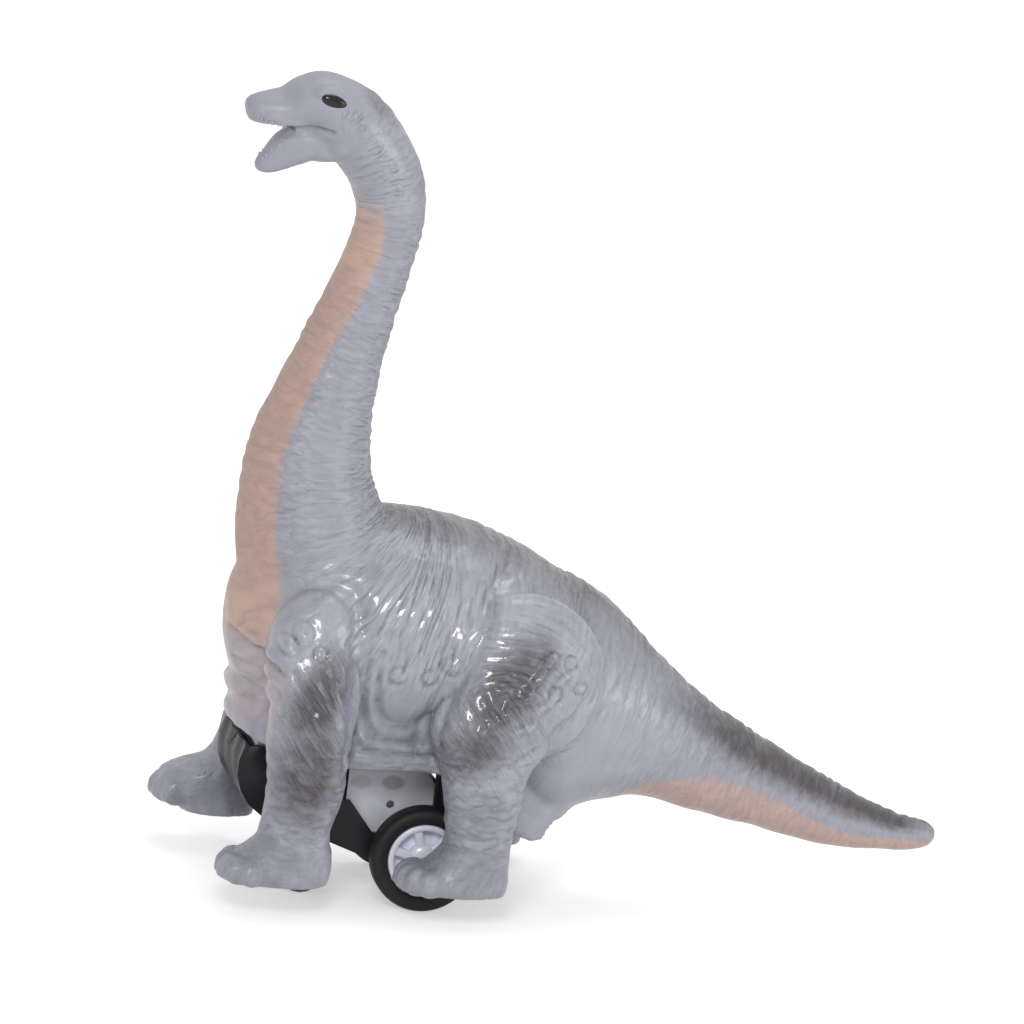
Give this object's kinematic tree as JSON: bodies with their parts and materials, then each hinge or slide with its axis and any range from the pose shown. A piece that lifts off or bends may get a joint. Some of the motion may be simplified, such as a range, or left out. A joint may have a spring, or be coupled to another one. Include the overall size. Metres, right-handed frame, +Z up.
{
  "type": "pull_back_toy_dinosaur",
  "caption": "Pull-back toy long-necked dinosaur: hollow grey vinyl body on a black chassis with rear drive wheels, small front wheels, gear train and wound mainspring",
  "frame": {"origin": "on the ground, below the middle of the whole toy's bounding box", "axes": "+Z up, the toy faces -X, its left side faces -Y; the four wheels stand on Z = 0"},
  "size_m": [0.1356, 0.0606, 0.1435],
  "materials": {
    "vinyl": "soft grey vinyl with a satin sheen",
    "chassis": "moulded black",
    "motor_case": "whitish, slightly see-through",
    "wheel_hub": "gloss white",
    "tyre": "matt black rubber",
    "gear": "natural moulded",
    "steel": "drawn wire",
    "spring_steel": "blued strip"
  },
  "bodies": {
    "toy_body": {"body_shell": "vinyl", "chassis_pan": "chassis", "motor_case_left": "motor_case", "motor_case_right": "motor_case", "mainspring": "spring_steel", "divider_plate": "steel", "first_gear_pin": "steel", "second_gear_pin": "steel", "chassis_screw_1": "steel", "chassis_screw_2": "steel", "chassis_screw_3": "steel", "chassis_screw_4": "steel"},
    "rear_wheels": {"rear_axle": "steel", "rear_hub_left": "wheel_hub", "rear_hub_right": "wheel_hub", "rear_tyre_left": "tyre", "rear_tyre_right": "tyre", "axle_pinion": "gear"},
    "second_gear": {"second_gear": "gear"},
    "first_gear": {"first_gear": "gear"},
    "spring_gear": {"spring_gear": "gear", "spring_arbor": "steel"},
    "front_wheels": {"front_axle": "steel", "front_wheel_left": "chassis", "front_wheel_right": "chassis"}
  },
  "joints": [
    {"name": "rear_axle_spin", "type": "hinge", "parent": "toy_body", "child": "rear_wheels", "pos_m": [-0.02484, 0, 0.00915], "axis": [0, 1, 0], "continuous": true},
    {"name": "second_gear_spin", "type": "hinge", "parent": "toy_body", "child": "second_gear", "pos_m": [-0.03034, 0, 0.01689], "axis": [0, 1, 0], "continuous": true},
    {"name": "first_gear_spin", "type": "hinge", "parent": "toy_body", "child": "first_gear", "pos_m": [-0.03904, 0, 0.02072], "axis": [0, 1, 0], "continuous": true},
    {"name": "spring_gear_spin", "type": "hinge", "parent": "toy_body", "child": "spring_gear", "pos_m": [-0.04784, 0, 0.0226], "axis": [0, 1, 0], "continuous": true},
    {"name": "front_axle_spin", "type": "hinge", "parent": "toy_body", "child": "front_wheels", "pos_m": [-0.04434, 0, 0.0042], "axis": [0, 1, 0], "continuous": true}
  ],
  "couplings": [
    {"joint": "second_gear_spin", "follows": "rear_axle_spin", "ratio": -0.35714},
    {"joint": "first_gear_spin", "follows": "rear_axle_spin", "ratio": 0.12755},
    {"joint": "spring_gear_spin", "follows": "rear_axle_spin", "ratio": -0.049058}
  ]
}
